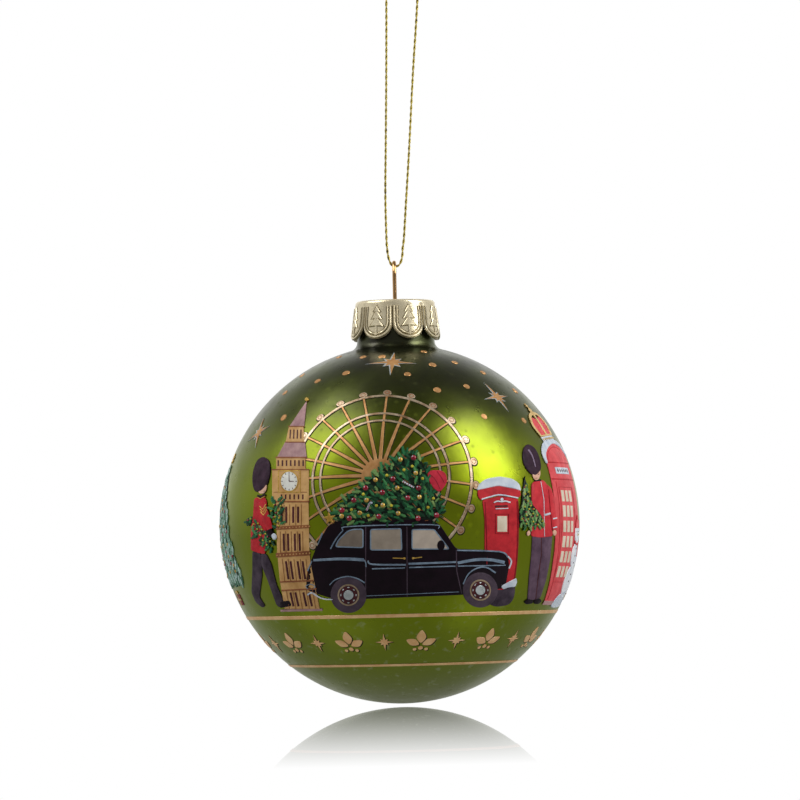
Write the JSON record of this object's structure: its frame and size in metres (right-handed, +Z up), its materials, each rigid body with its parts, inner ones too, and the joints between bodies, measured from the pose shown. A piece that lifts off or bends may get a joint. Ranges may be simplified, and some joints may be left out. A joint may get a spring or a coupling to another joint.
{
  "type": "hanging glass bauble",
  "caption": "Round lacquered glass bauble with a scalloped gold cap, a sprung wire eye and a knotted loop of fine metallic cord to hang it by.",
  "frame": {"origin": "just inside the top of the cord's loop, where a twig or hook carries it, straight above the ball's axis", "axes": "+Z up along the ball's axis, -Y out of the front of the printed picture, +X to the right of someone facing the front"},
  "size_m": [0.08, 0.08, 0.1706],
  "materials": {
    "green_lacquer": "satin metallic lacquer, dark at the top and olive below",
    "cap_gold": "bright pressed champagne gold, relief darkened in its hollows",
    "wire_gold": "bright drawn copper gold",
    "cord_gold": "twisted metallic thread with dark flecks",
    "print_copper": "raised metallic copper-gold print",
    "print_silver": "raised metallic silver print",
    "print_red": "gloss enamel print",
    "print_crimson": "gloss enamel print",
    "print_black": "gloss enamel print",
    "print_white": "gloss enamel print, slightly raised",
    "print_green": "gloss enamel print",
    "print_stone": "gloss enamel print",
    "print_grey": "gloss enamel print",
    "print_skin": "gloss enamel print"
  },
  "bodies": {
    "cord": {"cord_left_strand": "cord_gold", "cord_right_strand": "cord_gold", "cord_knot": "cord_gold", "cord_left_tail": "cord_gold", "cord_right_tail": "cord_gold"},
    "cord_bight": {"cord_bight": "cord_gold"},
    "hanger": {"hanger_wire": "wire_gold"},
    "cap": {"cap": "cap_gold"},
    "ball": {"glass_ball": "green_lacquer"}
  },
  "joints": [
    {"name": "cord_twist", "type": "hinge", "parent": "cord", "child": "cord_bight", "pos_m": [0, 0, -0.0596], "axis": [0, 0, 1], "range_deg": [-180, 180]},
    {"name": "ball_swing", "type": "hinge", "parent": "cord_bight", "child": "hanger", "pos_m": [0, 0, -0.06332], "axis": [1, 0, 0], "range_deg": [-75, 75]},
    {"name": "wire_slide", "type": "slide", "parent": "hanger", "child": "cap", "axis": [0, 0, 1], "range_m": [0, 0.0045]},
    {"name": "ball_pull", "type": "slide", "parent": "cap", "child": "ball", "axis": [0, 0, -1], "range_m": [0, 0.026]}
  ]
}
